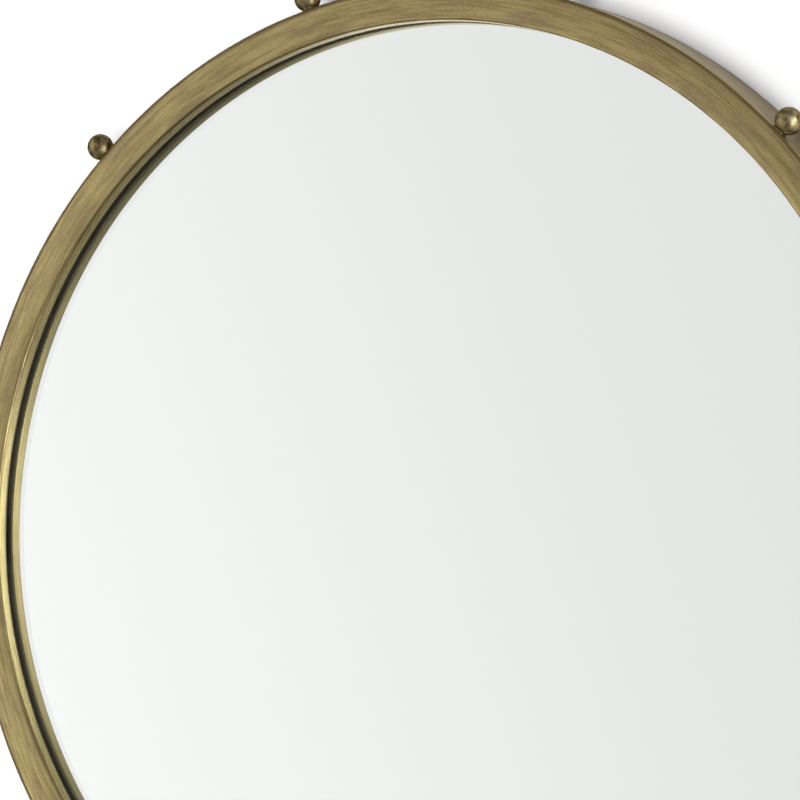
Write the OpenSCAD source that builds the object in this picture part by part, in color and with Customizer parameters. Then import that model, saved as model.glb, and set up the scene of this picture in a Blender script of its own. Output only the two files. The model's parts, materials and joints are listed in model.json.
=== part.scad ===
// Round wall mirror in a deep metal frame, with a ring of balls standing round its edge.
// The mirror faces -Y and +Z is up. The wall is the plane Y = 0, and the frame's axis is the Y axis.
// Every piece is drawn lying on the wall, with Z as its height off the wall, and is then stood upright.

/* [Frame] */
// Diameter over the outer band
frame_d = 762; // [560:1:1000]
// Width of the flat front face
face_w = 25.4; // [20:0.1:40]
// Thickness of the face ring's plate
face_t = 2; // [2:0.1:3]
// Depth of the frame, from its face to the wall
frame_depth = 46; // [44:0.5:70]
// Thickness of the outer band's strip
band_t = 2; // [1.5:0.1:3]
// Depth of the inner lip below the face
lip_depth = 10; // [7:0.1:12]
// Thickness of the inner lip's strip
lip_t = 3; // [2:0.1:5]
// Radius of the face's outer corner
outer_round = 1.4; // [0.5:0.1:1.4]
// Radius of the face's inner corner
inner_round = 1.8; // [0.5:0.1:1.8]
// Radius of the band's rear corner
rear_round = 0.5; // [0.2:0.1:0.8]

/* [Balls] */
// Number of balls round the frame
ball_count = 12; // [6:1:16]
// Diameter of a ball
ball_d = 19.05; // [14:0.05:24]
// Depth of a ball's centre behind the face
ball_set_back = 5.3; // [5:0.1:12]
// How far a ball is let into the band's curve
ball_seat = 0.6; // [0.3:0.1:1]
// Radius of the brazed fillet under a ball
braze_r = 0.5; // [0.3:0.1:0.8]
// Diameter of the spigot that goes through the band
spigot_d = 5; // [3:0.1:6]
// Length of spigot left inside the band
spigot_past = 0.6; // [0.3:0.1:1.5]
// Clearance round a spigot
spigot_gap = 0.1; // [0.05:0.05:0.2]

/* [Glass] */
// Thickness of the glass
glass_t = 5; // [3:0.5:6]
// Width of the ground edge of the glass
arris = 0.5; // [0.2:0.1:1]
// Thickness of the silvering and its paint
silver_t = 0.2; // [0.1:0.1:0.4]
// How far the silvering stops short of the edge of the glass
silver_margin = 0.5; // [0.5:0.5:4]
// Space between the edge of the glass and the band
edge_gap = 13; // [12.5:0.5:16]
// Width of the foam tape on the glass
tape_w = 6; // [4:0.5:8]
// Thickness of the foam tape
tape_t = 1.6; // [0.8:0.1:1.6]
// How far the tape stands back from the lip's inner wall
tape_set_back = 0.4; // [0.2:0.1:1]
// Thickness of the foam sheet behind the glass
liner_t = 1; // [0.5:0.1:2]
// How far the foam sheet stops short of the edge of the glass
liner_margin = 2; // [1:0.5:6]
// Thickness of the backing board
board_t = 9; // [8:0.5:9]
// Length of a setting block under the glass
block_l = 40; // [25:1:60]
// Angle of a setting block from the bottom of the frame
block_angle = 20; // [15:1:25]
// How far a setting block stops short of the board's rear face
block_inset = 1; // [0.5:0.5:3]

/* [Turn buttons] */
// Number of turn buttons
clip_count = 6; // [4:1:8]
// Width of a lug along the band
lug_w = 20; // [14:1:30]
// Length of a lug's leg on the band
lug_leg = 14; // [8:1:16]
// Thickness of a lug
lug_t = 2; // [1.5:0.1:3]
// Clearance between a lug and the board's edge
lug_gap = 0.5; // [0.3:0.1:1]
// Thickness of a turn button
button_t = 1.5; // [1:0.1:2]
// Distance from a button's pivot to its tip's centre
button_reach = 18; // [15:0.5:26]
// Radius of a button's round end
button_r = 5.5; // [5:0.1:5.7]
// Radius of a button's tip
button_tip_r = 4; // [3:0.1:4.5]
// Height of the raised thumb rib on a button
rib_h = 0.9; // [0.5:0.1:1.5]
// Diameter of a clip screw
clip_screw_d = 4; // [3:0.5:4]
// Length of a clip screw under its head
clip_screw_l = 8; // [6:0.5:12]
// Diameter of a clip screw's head
clip_head_d = 8; // [7:0.1:9]
// Height of a clip screw's head
clip_head_h = 2.4; // [2:0.1:3]

/* [Hangers] */
// Distance between the two hangers
hanger_spacing = 406.4; // [300:0.1:460]
// Height of the hangers' pivots above the centre
hanger_height = 185; // [100:1:200]
// Width of a hanger strap
strap_w = 14; // [12:0.5:18]
// Thickness of one leaf of a strap
leaf_t = 1.2; // [0.8:0.1:1.5]
// Diameter of the ring's wire
wire_d = 3; // [2.5:0.1:4]
// Clear width inside the ring
ring_w = 18; // [18:0.5:24]
// Distance from the ring's bar to the centre of its round end
ring_reach = 17; // [15:0.5:20]
// Corner radius of the ring's bar, on the wire's centre
ring_corner = 2.5; // [2.4:0.1:3]
// Distance from the ring's round end to the first screw
first_screw = 7; // [7:0.5:10]
// Distance between a strap's two screws
screw_pitch = 14; // [10:0.5:20]
// Diameter of a strap screw
strap_screw_d = 3.5; // [3:0.1:4]
// Length of a strap screw under its head
strap_screw_l = 9.5; // [8:0.5:9.5]
// Length of a strap screw's point
screw_point = 2.5; // [1.5:0.1:3]
// Diameter of a strap screw's head
strap_head_d = 7; // [6:0.1:8]
// Height of a strap screw's head
strap_head_h = 2; // [1.5:0.1:2.5]

/* [Fits] */
// Gap between the band or the glass and a curved piece seated on it
seat_gap = 0.3; // [0.2:0.05:0.5]
// Clearance round a screw and round the ring's bar
turn_gap = 0.15; // [0.1:0.05:0.2]
// Clearance between a turn button and what it lies on
slide_gap = 0.1; // [0.1:0.1:0.3]
// Clearance between the resting ring and its strap
rest_gap = 0.3; // [0.2:0.1:0.5]
// Width of the cross slots in the screw heads
slot_w = 0.9; // [0.6:0.1:1.2]

/* [Hidden] */
// Facets of the large and small curves
large = 180;
small = 48;
eps = 1;

frame_r = frame_d / 2;
face_inner_r = frame_r - face_w;
band_inner_r = frame_r - band_t;
band_h = frame_depth - face_t;
lip_h = frame_depth - lip_depth;
lip_outer_r = face_inner_r + lip_t;

glass_r = band_inner_r - edge_gap;
tape_inner_r = face_inner_r + tape_set_back;
glass_front_h = lip_h - tape_t;
silver_h = glass_front_h - glass_t;
liner_h = silver_h - silver_t;
board_front_h = liner_h - liner_t;
board_back_h = board_front_h - board_t;
seat_r = band_inner_r - seat_gap;
block_inner_r = glass_r + seat_gap;
block_span = block_l / band_inner_r * 180 / PI;

ball_r = ball_d / 2;
ball_h = frame_depth - ball_set_back;
ball_step = 360 / ball_count;
braze_height = ball_r - ball_seat - braze_r;
braze_foot = sqrt(pow(ball_r + braze_r, 2) - pow(braze_height, 2));
braze_top = ball_r - ball_seat - braze_height * ball_r / (ball_r + braze_r);

clip_step = 360 / clip_count;
pivot_r = band_inner_r - edge_gap / 2 + lug_gap / 2;
lug_inner_r = glass_r + lug_gap;
lug_span = lug_w / band_inner_r * 180 / PI;
rib_w = button_tip_r;

wire_r = wire_d / 2;
knuckle_hole_r = wire_r + turn_gap;
knuckle_r = knuckle_hole_r + leaf_t;
strap_t = 2 * leaf_t;
end_r = ring_w / 2 + wire_r;
leg_l = ring_reach - end_r;
screw_1 = ring_reach + wire_r + first_screw;
screw_2 = screw_1 + screw_pitch;
ring_tilt = asin((strap_t + wire_r + rest_gap - knuckle_r) / ring_reach);

brass = "#94845a";
dark_brass = "#6f6244";
steel = "#a9aaa8";
zinc = "#c3c0b4";

function two_digits(n) = n < 10 ? str("0", n) : str(n);
function ball_name(n) = str("ball_", two_digits(n));
function lug_name(n) = str("clip_lug_", n);
function button_name(n) = str("turn_button_", n);

// Balls are numbered clockwise from the first one right of the top
function ball_angle(n) = 90 - ball_step * (n - 0.5);
// Lugs are numbered clockwise from the top
function clip_angle(n) = 90 - clip_step * (n - 1);

// Turns a piece drawn lying on the wall upright, with its front towards -Y
module upright() {
    rotate([90, 0, 0]) children();
}

// A round plate between two heights
module plate(r, low, high) {
    translate([0, 0, low]) cylinder(r = r, h = high - low, $fn = large);
}

// A ring of rectangular section between two radii and two heights
module hoop(inner, outer, low, high) {
    rotate_extrude($fn = large) translate([inner, low]) square([outer - inner, high - low]);
}

// What a rounding of radius r takes off a corner that points to +X +Y
module corner_waste(r) {
    difference() {
        square([r + eps, r + eps]);
        circle(r = r, $fn = small);
    }
}

// Flat ring cut from plate, with both of its front edges rounded
module face_ring() {
    color(brass) upright() rotate_extrude($fn = large) difference() {
        translate([face_inner_r, band_h]) square([face_w, face_t]);
        translate([frame_r - outer_round, frame_depth - outer_round]) corner_waste(outer_round);
        translate([face_inner_r + inner_round, frame_depth - inner_round])
            mirror([1, 0]) corner_waste(inner_round);
    }
}

// Deep rolled strip behind the face ring, with a hole for each ball's spigot
module outer_band() {
    color(dark_brass) upright() difference() {
        rotate_extrude($fn = large) difference() {
            translate([band_inner_r, 0]) square([band_t, band_h]);
            translate([frame_r - rear_round, rear_round]) mirror([0, 1]) corner_waste(rear_round);
        }
        for (n = [1:ball_count]) on_band(n)
            translate([0, 0, -band_t - eps]) cylinder(r = spigot_d / 2 + spigot_gap, h = band_t + 2 * eps, $fn = small);
    }
}

// Rolled strip that drops from the face's inner edge to the glass
module inner_lip() {
    color(brass) upright() hoop(face_inner_r, lip_outer_r, lip_h, band_h);
}

// Moves to where ball n meets the band, with Z pointing out of the band
module on_band(n) {
    rotate([0, 0, ball_angle(n)]) translate([frame_r, 0, ball_h]) rotate([0, 90, 0]) children();
}

// Fillet of brazing metal that closes the corner under a ball
module braze() {
    rotate_extrude($fn = small) difference() {
        translate([0, -eps]) square([braze_foot, braze_top + eps]);
        translate([braze_foot, braze_r]) circle(r = braze_r, $fn = small);
    }
}

// Solid ball, cut to the band's curve where it sits, with the spigot that holds it
module ball(n) {
    spigot_l = band_t + spigot_past;
    color(dark_brass) upright() {
        difference() {
            on_band(n) {
                translate([0, 0, ball_r - ball_seat]) sphere(r = ball_r, $fn = large);
                braze();
            }
            plate(frame_r, ball_h - ball_r, ball_h + ball_r);
        }
        on_band(n) translate([0, 0, -spigot_l]) cylinder(d = spigot_d, h = spigot_l + ball_r, $fn = small);
    }
}

// Foam tape between the lip's edge and the glass
module glazing_tape() {
    color("#1c1c1a") upright() hoop(tape_inner_r, tape_inner_r + tape_w, glass_front_h, lip_h);
}

// Float glass disc with both edges ground to an arris
module mirror_glass() {
    color("#cfe0d8") upright() rotate_extrude($fn = large) polygon([
        [0, silver_h],
        [glass_r - arris, silver_h],
        [glass_r, silver_h + arris],
        [glass_r, glass_front_h - arris],
        [glass_r - arris, glass_front_h],
        [0, glass_front_h]
    ]);
}

// Silvering and its protective paint on the back of the glass
module silver_coat() {
    color("#dfe3e2") upright() plate(glass_r - arris - silver_margin, liner_h, silver_h);
}

// Foam sheet that cushions the silvering against the board
module foam_liner() {
    color("#e9e7e0") upright() plate(glass_r - liner_margin, board_front_h, liner_h);
}

// Board behind the glass, drilled for the hangers' screws
module backing_board() {
    color("#3a2f26") upright() difference() {
        plate(glass_r, board_back_h, board_front_h);
        for (side = [-1, 1]) on_board(side) strap_screw_places() strap_screw_shank();
    }
}

// Rubber block that carries the edge of the glass and the board, left or right of the bottom
module setting_block(side) {
    color("#2b2b29") upright() rotate([0, 0, -90 + side * block_angle - block_span / 2])
        rotate_extrude(angle = block_span, $fn = large)
            translate([block_inner_r, board_back_h + block_inset])
                square([seat_r - block_inner_r, glass_front_h - board_back_h - block_inset]);
}

// Moves to a turn button's pivot on the board's rear face, with X to the middle and Z to the wall
module on_clip(n) {
    rotate([0, 0, clip_angle(n)]) translate([pivot_r, 0, board_back_h]) rotate([0, 180, 0]) children();
}

// Angle lug welded inside the band, level with the board's rear face and tapped for its screw
module clip_lug(n) {
    color(dark_brass) upright() difference() {
        rotate([0, 0, clip_angle(n) - lug_span / 2]) rotate_extrude(angle = lug_span, $fn = large) {
            translate([lug_inner_r, board_back_h]) square([seat_r - lug_inner_r, lug_t]);
            translate([seat_r - lug_t, board_back_h]) square([lug_t, lug_leg]);
        }
        on_clip(n) translate([0, 0, -lug_t - eps]) cylinder(d = clip_screw_d, h = lug_t + 2 * eps, $fn = small);
    }
}

// Outline of a turn button: two round ends and the straight sides that are tangent to both
module button_outline() {
    lean = asin((button_r - button_tip_r) / button_reach);
    circle(r = button_r, $fn = small);
    translate([button_reach, 0]) circle(r = button_tip_r, $fn = small);
    polygon([
        [button_r * sin(lean), -button_r * cos(lean)],
        [button_reach + button_tip_r * sin(lean), -button_tip_r * cos(lean)],
        [button_reach + button_tip_r * sin(lean), button_tip_r * cos(lean)],
        [button_r * sin(lean), button_r * cos(lean)]
    ]);
}

// Flat button that turns on its screw and holds the board in, with a thumb rib across its tip
module turn_button(n) {
    color(zinc) upright() on_clip(n) difference() {
        union() {
            translate([0, 0, slide_gap]) linear_extrude(button_t) button_outline();
            translate([button_reach, -rib_w / 2, slide_gap + button_t]) rotate([-90, 0, 0])
                cylinder(r = rib_h, h = rib_w, $fn = small);
        }
        translate([0, 0, -eps]) cylinder(r = clip_screw_d / 2 + turn_gap, h = button_t + 3 * eps, $fn = small);
        translate([0, -rib_w, slide_gap - 2 * rib_h]) cube([2 * button_reach, 2 * rib_w, 2 * rib_h]);
    }
}

// Pan head with rounded shoulders and a cross slot, standing on Z = 0
module pan_head(d, h) {
    shoulder = h / 2;
    slot_l = d * 0.6;
    difference() {
        rotate_extrude($fn = small) {
            square([d / 2 - shoulder, h]);
            square([d / 2, h - shoulder]);
            translate([d / 2 - shoulder, h - shoulder]) circle(r = shoulder, $fn = small);
        }
        for (turn = [0, 90]) rotate([0, 0, turn])
            translate([-slot_l / 2, -slot_w / 2, shoulder]) cube([slot_l, slot_w, h]);
    }
}

// The machine screws that the turn buttons turn on
module clip_screws() {
    head_h = 2 * slide_gap + button_t;
    color(steel) upright() for (n = [1:clip_count]) on_clip(n) {
        translate([0, 0, head_h]) pan_head(clip_head_d, clip_head_h);
        translate([0, 0, head_h - clip_screw_l]) cylinder(d = clip_screw_d, h = clip_screw_l, $fn = small);
    }
}

// Moves to a hanger on the board's rear face, under its pivot, with Y up and Z to the wall
module on_board(side) {
    translate([side * hanger_spacing / 2, hanger_height, board_back_h]) rotate([0, 180, 0]) children();
}

// Repeats a screw at both holes of a strap
module strap_screw_places() {
    for (reach = [screw_1, screw_2]) translate([0, -reach, strap_t]) children();
}

// Shank of a strap screw below its head, with its point
module strap_screw_shank() {
    straight = strap_screw_l - screw_point;
    rotate_extrude($fn = small) polygon([
        [0, 0],
        [strap_screw_d / 2, 0],
        [strap_screw_d / 2, -straight],
        [0, -strap_screw_l]
    ]);
}

// Side view of a strap folded round the ring's bar, with X pointing down the strap
module strap_profile() {
    flare = 2 * knuckle_r;
    drop = knuckle_r - strap_t;
    reach = sqrt(pow(flare, 2) + pow(drop, 2));
    crease = acos(knuckle_r / reach) - asin(drop / reach);
    crease_r = knuckle_r - leaf_t / 4;
    difference() {
        union() {
            translate([0, knuckle_r]) circle(r = knuckle_r, $fn = small);
            polygon([
                [0, 0],
                [screw_2 + strap_w, 0],
                [screw_2 + strap_w, strap_t],
                [flare, strap_t],
                [crease_r * cos(crease), knuckle_r + crease_r * sin(crease)],
                [0, knuckle_r]
            ]);
        }
        translate([0, knuckle_r]) circle(r = knuckle_hole_r, $fn = small);
    }
}

// Steel strap folded double round the ring's bar and screwed to the board through both leaves
module hanger_strap(side) {
    color(steel) upright() on_board(side) difference() {
        intersection() {
            rotate([90, 0, -90]) translate([0, 0, -strap_w / 2])
                linear_extrude(strap_w) strap_profile();
            translate([0, 0, -eps]) linear_extrude(2 * knuckle_r + 2 * eps) {
                translate([-strap_w / 2, -screw_2]) square([strap_w, screw_2 + knuckle_r + eps]);
                translate([0, -screw_2]) circle(d = strap_w, $fn = small);
            }
        }
        strap_screw_places() translate([0, 0, -strap_t - eps])
            cylinder(r = strap_screw_d / 2 + turn_gap, h = strap_t + 2 * eps, $fn = small);
    }
}

// A quarter bend of wire that starts along +X and ends along +Y
module wire_bend(r) {
    translate([0, r, 0]) rotate([0, 0, -90]) rotate_extrude(angle = 90, $fn = large)
        translate([r, 0]) circle(r = wire_r, $fn = small);
}

// D-shaped ring bent from wire, hanging from its bar, with Y up and the bar along X
module wire_ring() {
    bar = 2 * (end_r - ring_corner);
    translate([-bar / 2, 0, 0]) rotate([0, 90, 0]) cylinder(r = wire_r, h = bar, $fn = small);
    for (side = [0, 1]) mirror([side, 0, 0]) {
        mirror([0, 1, 0]) translate([bar / 2, 0, 0]) wire_bend(ring_corner);
        translate([end_r, -leg_l, 0]) rotate([-90, 0, 0])
            cylinder(r = wire_r, h = leg_l - ring_corner, $fn = small);
    }
    translate([0, -leg_l, 0]) rotate([0, 0, 180]) rotate_extrude(angle = 180, $fn = large)
        translate([end_r, 0]) circle(r = wire_r, $fn = small);
}

// The ring at rest, hanging over its strap
module hanger_ring(side) {
    color(steel) upright() on_board(side) translate([0, 0, knuckle_r]) rotate([-ring_tilt, 0, 0]) wire_ring();
}

// The wood screws that hold both straps to the board
module hanger_screws() {
    color(zinc) upright() for (side = [-1, 1]) on_board(side) strap_screw_places() {
        pan_head(strap_head_d, strap_head_h);
        strap_screw_shank();
    }
}

face_ring();
outer_band();
inner_lip();
for (n = [1:ball_count]) {
    ball(n);
}
glazing_tape();
mirror_glass();
silver_coat();
foam_liner();
backing_board();
setting_block(-1);  // setting_block_left
setting_block(1);  // setting_block_right
for (n = [1:clip_count]) {
    clip_lug(n);
    turn_button(n);
}
clip_screws();
hanger_strap(-1);  // hanger_strap_left
hanger_strap(1);  // hanger_strap_right
hanger_ring(-1);  // hanger_ring_left
hanger_ring(1);  // hanger_ring_right
hanger_screws();
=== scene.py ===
"""Round wall mirror with balls round its edge: finishes, studio and camera, built round the CAD frame.

The part stands upright with its front towards -Y, +Z up, and its axis along Y. The wall is the plane Y = 0.
"""

import json
import logging
import math
from dataclasses import dataclass
from enum import Enum
from typing import Any, Sequence

import bmesh
import bpy
from mathutils import Matrix, Vector

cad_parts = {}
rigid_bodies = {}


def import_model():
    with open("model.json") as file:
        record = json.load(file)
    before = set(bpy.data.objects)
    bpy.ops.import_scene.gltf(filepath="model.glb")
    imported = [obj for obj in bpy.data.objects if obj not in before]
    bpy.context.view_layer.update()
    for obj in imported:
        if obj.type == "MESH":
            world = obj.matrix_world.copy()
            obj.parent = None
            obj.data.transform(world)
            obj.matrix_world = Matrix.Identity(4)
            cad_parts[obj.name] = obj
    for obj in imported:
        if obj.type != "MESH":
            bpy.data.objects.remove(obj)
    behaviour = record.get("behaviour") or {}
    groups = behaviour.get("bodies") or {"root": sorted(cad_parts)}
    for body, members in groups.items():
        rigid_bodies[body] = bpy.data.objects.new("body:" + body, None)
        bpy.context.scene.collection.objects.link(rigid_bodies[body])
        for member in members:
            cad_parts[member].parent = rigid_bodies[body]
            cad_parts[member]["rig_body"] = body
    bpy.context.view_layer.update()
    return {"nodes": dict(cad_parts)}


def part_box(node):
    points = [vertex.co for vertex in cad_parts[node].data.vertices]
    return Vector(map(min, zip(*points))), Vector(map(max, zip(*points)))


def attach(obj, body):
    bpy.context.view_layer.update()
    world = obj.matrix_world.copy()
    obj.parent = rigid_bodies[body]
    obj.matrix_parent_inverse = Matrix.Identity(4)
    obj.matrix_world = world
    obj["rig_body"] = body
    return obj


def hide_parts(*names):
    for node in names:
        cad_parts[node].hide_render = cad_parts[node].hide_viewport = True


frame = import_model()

log = logging.getLogger("round_mirror")

MM = 0.001
AXIS = Vector((0.0, 1.0, 0.0))
UPRIGHT = Matrix.Rotation(math.pi / 2, 3, "X")
ORIGIN = (0.0, 0.0, 0.0)
RING_STEPS = 720
WHITE = "#ffffff"
# A CAD node's triangles are joined within WELD, and its edges count as flat or sharp by these angles
WELD = 2e-6
FLAT = math.radians(0.5)
SHARP = math.radians(50)


class Slot(Enum):
    """Material slots of the record. No piece is given one here."""

    AGED_BRASS = "aged_brass"
    DARK_BRASS = "dark_brass"
    BLACK_FOAM = "black_foam"
    FLOAT_GLASS = "float_glass"
    SILVERING = "silvering"
    WHITE_FOAM = "white_foam"
    PAINTED_BOARD = "painted_board"
    BLOCK_RUBBER = "block_rubber"
    ZINC_STEEL = "zinc_steel"


def linear(colour: str, alpha: float = 1.0) -> tuple[float, float, float, float]:
    """Turns an sRGB hex colour into the linear values that Blender's sockets hold.

    Args:
        colour: The colour as "#rrggbb".
        alpha: The alpha that goes with it.

    Returns:
        Linear red, green, blue and alpha.
    """
    shares = [int(colour[i:i + 2], 16) / 255 for i in (1, 3, 5)]
    red, green, blue = (s / 12.92 if s <= 0.04045 else ((s + 0.055) / 1.055) ** 2.4 for s in shares)
    return red, green, blue, alpha


def add(tree: bpy.types.NodeTree, kind: str, inputs: dict | tuple = (), **settings: Any) -> bpy.types.Node:
    """Adds a node to a tree, with its settings and its links.

    Args:
        tree: The tree that the node goes into.
        kind: The node's type, such as "ShaderNodeMath".
        inputs: A value, or the output socket that feeds it, for each of the first inputs in order, or for
            each input that a dict names or numbers.
        **settings: Properties of the node.

    Returns:
        The new node.
    """
    node = tree.nodes.new(kind)
    for name, value in settings.items():
        setattr(node, name, value)
    for key, value in inputs.items() if isinstance(inputs, dict) else enumerate(inputs):
        if isinstance(value, bpy.types.NodeSocket):
            tree.links.new(value, node.inputs[key])
        else:
            node.inputs[key].default_value = value
    return node


def new_material(name: str, looks: dict) -> tuple[bpy.types.Material, bpy.types.NodeTree, bpy.types.Node]:
    """Starts a material with only its output and a Principled shader.

    Args:
        name: The material's name.
        looks: The shader's inputs that are the same all over, with their values.

    Returns:
        The material, its node tree and the Principled shader.
    """
    material = bpy.data.materials.new(name)
    material.use_nodes = True
    tree = material.node_tree
    tree.nodes.clear()
    shader = add(tree, "ShaderNodeBsdfPrincipled", looks)
    add(tree, "ShaderNodeOutputMaterial", {"Surface": shader.outputs["BSDF"]})
    return material, tree, shader


@dataclass(frozen=True)
class Streaks:
    """One layer of brush marks that run round the mirror's axis.

    Marks of a real brush are about 0.1 mm wide, which is too fine to show, so they are drawn up to ten times
    coarser.

    Attributes:
        length: Length of a mark along the ring.
        width: Width of a mark across it.
        detail: Octaves of finer marks.
        shift: Offset that keeps this layer apart from the others.
    """

    length: float
    width: float
    detail: float = 2.0
    shift: float = 0.0


@dataclass(frozen=True)
class Rim:
    """A dark line painted along an edge: painted shade there, and on the face's outer edge partly patina.

    Attributes:
        at: Where it lies along the section.
        half_width: Half of its width.
        soft: Distance over which it fades.
        wander: How far its edge wanders.
        strength: How dark it is, from 0 to 1.
    """

    at: float
    half_width: float
    soft: float
    wander: float
    strength: float


class RingCoordinates:
    """Coordinates of a surface of revolution about Y, read from Object coordinates.

    `turn` points away from the axis with length one, and `across` grows along the frame's section, outwards
    over the face and back along the band, so marks stay whole round the corners.
    """

    def __init__(self, tree: bpy.types.NodeTree, radius: float) -> None:
        """Adds the nodes.

        Args:
            tree: The material's tree.
            radius: Radius that a mark's length is measured at.
        """
        self.tree = tree
        self.radius = radius
        self.point = add(tree, "ShaderNodeTexCoord").outputs["Object"]
        parts = add(tree, "ShaderNodeSeparateXYZ", (self.point,)).outputs
        flat = add(tree, "ShaderNodeCombineXYZ", {"X": parts["X"], "Z": parts["Z"]}).outputs[0]
        self.depth = parts["Y"]
        self.reach = add(tree, "ShaderNodeVectorMath", (flat,), operation="LENGTH").outputs["Value"]
        self.turn = add(tree, "ShaderNodeVectorMath", (flat,), operation="NORMALIZE").outputs[0]
        self.across = add(tree, "ShaderNodeMath", (self.reach, self.depth), operation="ADD").outputs[0]

    def marks(self, layer: Streaks) -> bpy.types.NodeSocket:
        """Noise that is stretched along the ring.

        Args:
            layer: Size of the marks.

        Returns:
            A socket from 0 to 1.
        """
        along = add(self.tree, "ShaderNodeVectorMath", {0: self.turn, "Scale": self.radius / layer.length},
                    operation="SCALE").outputs[0]
        beside = add(self.tree, "ShaderNodeMath", (self.across, 1 / layer.width, layer.shift),
                     operation="MULTIPLY_ADD").outputs[0]
        lift = add(self.tree, "ShaderNodeCombineXYZ", {"Y": beside}).outputs[0]
        place = add(self.tree, "ShaderNodeVectorMath", (along, lift), operation="ADD").outputs[0]
        return add(self.tree, "ShaderNodeTexNoise", {
            "Vector": place, "Scale": 1.0, "Detail": layer.detail, "Roughness": 0.55}).outputs[0]

    def rim(self, line: Rim) -> bpy.types.NodeSocket:
        """A line round the ring, with a ragged edge.

        Args:
            line: Its place, size and strength.

        Returns:
            A socket that is the line's strength on the line and 0 away from it.
        """
        rough = self.marks(Streaks(length=9 * MM, width=2.5 * MM, detail=3.0, shift=line.at / MM))
        sway = add(self.tree, "ShaderNodeMapRange", (rough, 0.3, 0.7, -line.wander, line.wander)).outputs[0]
        off = add(self.tree, "ShaderNodeMath", (self.across, line.at), operation="SUBTRACT").outputs[0]
        away = add(self.tree, "ShaderNodeMath", (off,), operation="ABSOLUTE").outputs[0]
        frayed = add(self.tree, "ShaderNodeMath", (away, sway), operation="ADD").outputs[0]
        return add(self.tree, "ShaderNodeMapRange", (
            frayed, line.half_width, line.half_width + line.soft, line.strength, 0.0),
            interpolation_type="SMOOTHSTEP").outputs[0]


@dataclass(frozen=True)
class Layer:
    """A colour that lies over a surface where a pattern is strong.

    Attributes:
        pattern: The pattern.
        low: Value of the pattern where the colour starts to show.
        high: Value where it shows most.
        share: How much of it shows there.
        colour: The colour.
    """

    pattern: bpy.types.NodeSocket
    low: float
    high: float
    share: float
    colour: str


def overlay(tree: bpy.types.NodeTree, under: Any, layers: Sequence[Layer]) -> Any:
    """Lays layers of colour over a colour.

    Args:
        tree: The tree to work in.
        under: The lowest colour.
        layers: The layers, the lowest first.

    Returns:
        The upper colour's socket.
    """
    for layer in layers:
        share = add(tree, "ShaderNodeMapRange", (layer.pattern, layer.low, layer.high, 0.0, layer.share),
                    interpolation_type="SMOOTHSTEP").outputs[0]
        under = add(tree, "ShaderNodeMix", {0: share, 6: under, 7: linear(layer.colour)},
                    data_type="RGBA").outputs[2]
    return under


def dress(tree: bpy.types.NodeTree, shader: bpy.types.Node, colour: Any, roughness: Any, relief: Any,
          strength: float, depth: float) -> None:
    """Gives a shader its colour, its roughness and a relief.

    Args:
        tree: The material's tree.
        shader: The Principled shader.
        colour: The colour's socket.
        roughness: The roughness's socket.
        relief: The pattern that stands out as relief.
        strength: How strong the relief is, from 0 to 1.
        depth: How deep it is.
    """
    bump = add(tree, "ShaderNodeBump", {"Height": relief, "Strength": strength, "Distance": depth})
    tree.links.new(colour, shader.inputs["Base Color"])
    tree.links.new(roughness, shader.inputs["Roughness"])
    tree.links.new(bump.outputs[0], shader.inputs["Normal"])


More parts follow.
